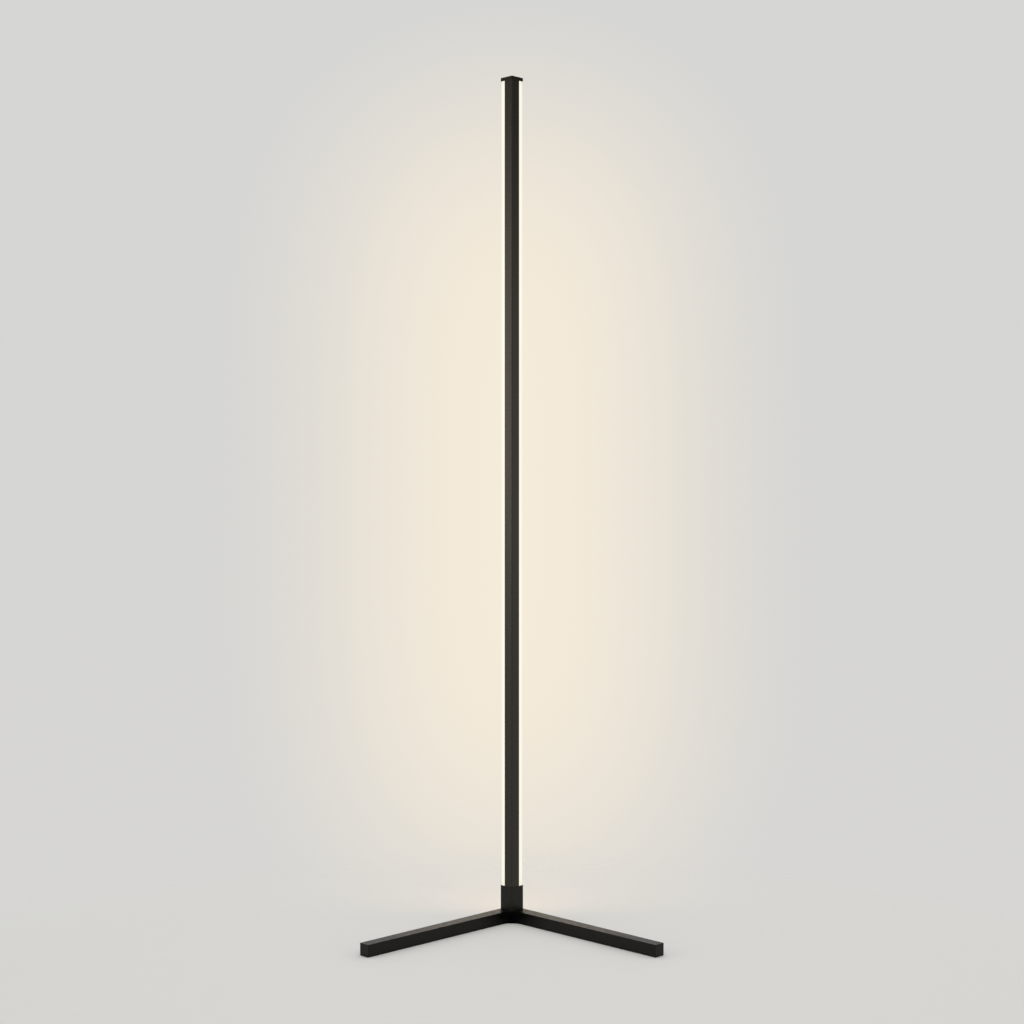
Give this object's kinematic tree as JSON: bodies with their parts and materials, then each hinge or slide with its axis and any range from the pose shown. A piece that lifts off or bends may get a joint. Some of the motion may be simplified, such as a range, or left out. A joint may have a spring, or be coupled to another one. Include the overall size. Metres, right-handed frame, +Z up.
{
  "type": "corner floor lamp",
  "caption": "Corner floor lamp: a square light column with a black corner profile and an opal cover, on a flat V-shaped foot of two legs at a right angle.",
  "frame": {"origin": "on the floor under the axis of the column, on the face of the pad under the foot's rear corner", "axes": "+Z up along the column, -Y towards the room and the viewer, +Y into the corner of the room; the legs run to -X-Y and +X-Y"},
  "size_m": [0.4684, 0.2476, 1.4],
  "materials": {
    "black_foot": "satin black powder coat",
    "black_collar": "satin black paint on a casting",
    "black_profile": "satin black anodised extrusion",
    "black_cap": "satin black anodised",
    "opal_cover": "opal diffusing plastic, lit from inside",
    "pad_rubber": "matte foam rubber",
    "grommet_rubber": "matte",
    "black_screw": "black oxide",
    "zinc_screw": "zinc plated",
    "strip_tape": "adhesive tape",
    "strip_board": "white solder mask",
    "led_phosphor": "phosphor on white package",
    "resistor_black": "ceramic chip",
    "inlet_plastic": "moulded",
    "contact_metal": "tinned",
    "nut_metal": "nickel plated",
    "wire_red": "insulation",
    "wire_black": "insulation"
  },
  "bodies": {
    "root": {"foot_frame": "black_foot", "corner_pad": "pad_rubber", "left_leg_pad": "pad_rubber", "right_leg_pad": "pad_rubber", "foot_bolt_left": "black_screw", "foot_bolt_right": "black_screw", "foot_washer_left": "zinc_screw", "foot_washer_right": "zinc_screw", "collar_housing": "black_collar", "wire_grommet": "grommet_rubber", "column_screw_left": "zinc_screw", "column_screw_right": "zinc_screw", "column_profile": "black_profile", "diffuser_cover": "opal_cover", "top_cap": "black_cap", "cap_screw_left": "black_screw", "cap_screw_right": "black_screw", "led_strip_tape": "strip_tape", "led_strip_board": "strip_board", "led_chips": "led_phosphor", "strip_resistors": "resistor_black", "power_inlet_housing": "inlet_plastic", "power_inlet_pin": "contact_metal", "power_inlet_contact": "contact_metal", "power_inlet_nut": "nut_metal", "positive_wire": "wire_red", "negative_wire": "wire_black"}
  },
  "joints": []
}
